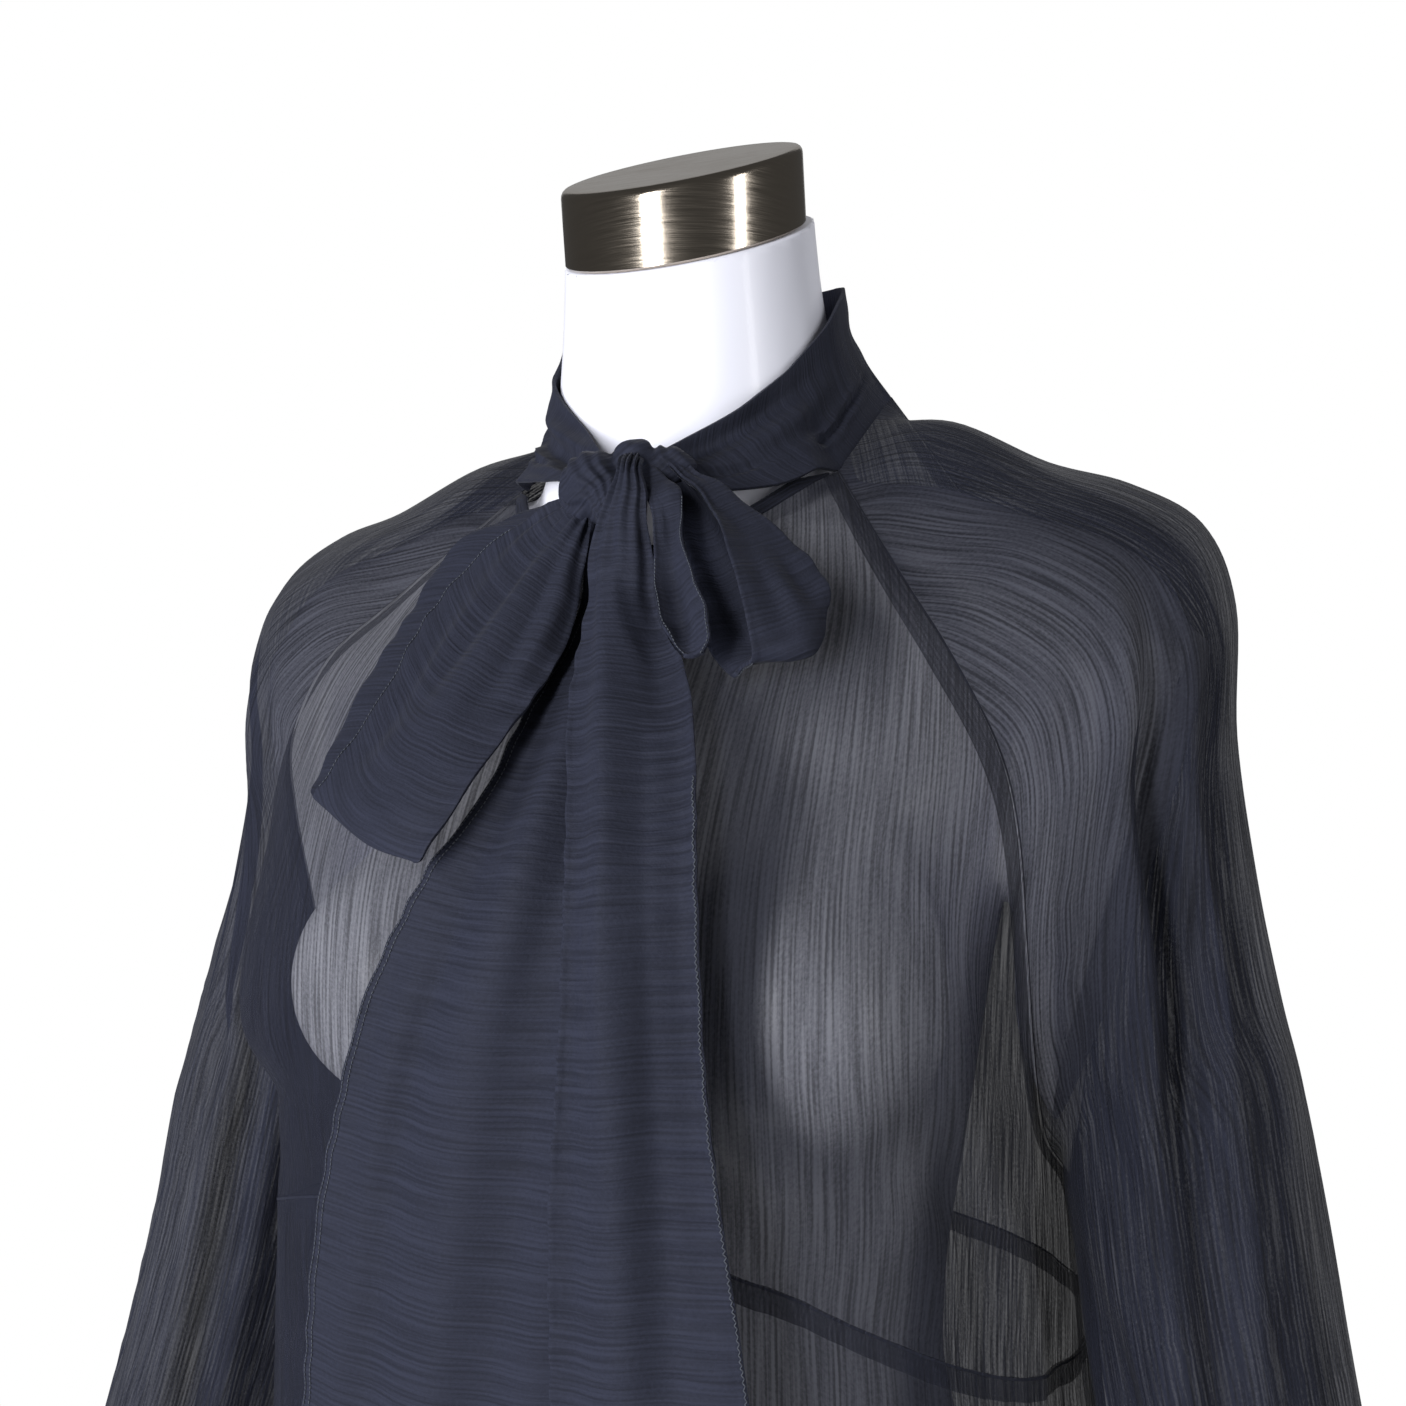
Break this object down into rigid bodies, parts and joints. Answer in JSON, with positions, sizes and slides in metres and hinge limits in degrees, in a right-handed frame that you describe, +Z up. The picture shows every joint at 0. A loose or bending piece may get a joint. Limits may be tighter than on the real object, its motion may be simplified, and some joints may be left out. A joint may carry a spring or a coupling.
{
  "type": "blouse on a dress form",
  "caption": "Sheer tie-neck blouse with raglan sleeves and a large soft bow, worn by a smooth limbless dress form that stands on a pole and a round base.",
  "frame": {"origin": "middle of the base's underside", "axes": "+Z up along the pole, the form's chest faces -Y, and its left side is +X"},
  "size_m": [0.596, 0.38, 1.6213],
  "materials": {
    "chiffon": "crinkled sheer navy chiffon, one layer",
    "chiffon_double": "crinkled navy chiffon, two layers",
    "gloss_white": "glossy white shell",
    "brushed_nickel": "brushed dark nickel",
    "stand_steel": "satin steel"
  },
  "bodies": {
    "root": {"back_lower": "chiffon", "back_upper": "chiffon", "bow_knot": "chiffon_double", "bow_lobe": "chiffon_double", "bow_loop_left": "chiffon_double", "bow_loop_right": "chiffon_double", "cuff_left": "chiffon", "cuff_right": "chiffon", "dress_form": "gloss_white", "front_lower": "chiffon", "front_upper": "chiffon", "neck_binding": "chiffon", "neck_cap": "brushed_nickel", "sleeve_left": "chiffon", "sleeve_right": "chiffon", "stand_base": "stand_steel", "stand_pole": "stand_steel", "tail_front": "chiffon_double", "tail_rear": "chiffon_double", "tie_collar": "chiffon_double"}
  },
  "joints": []
}
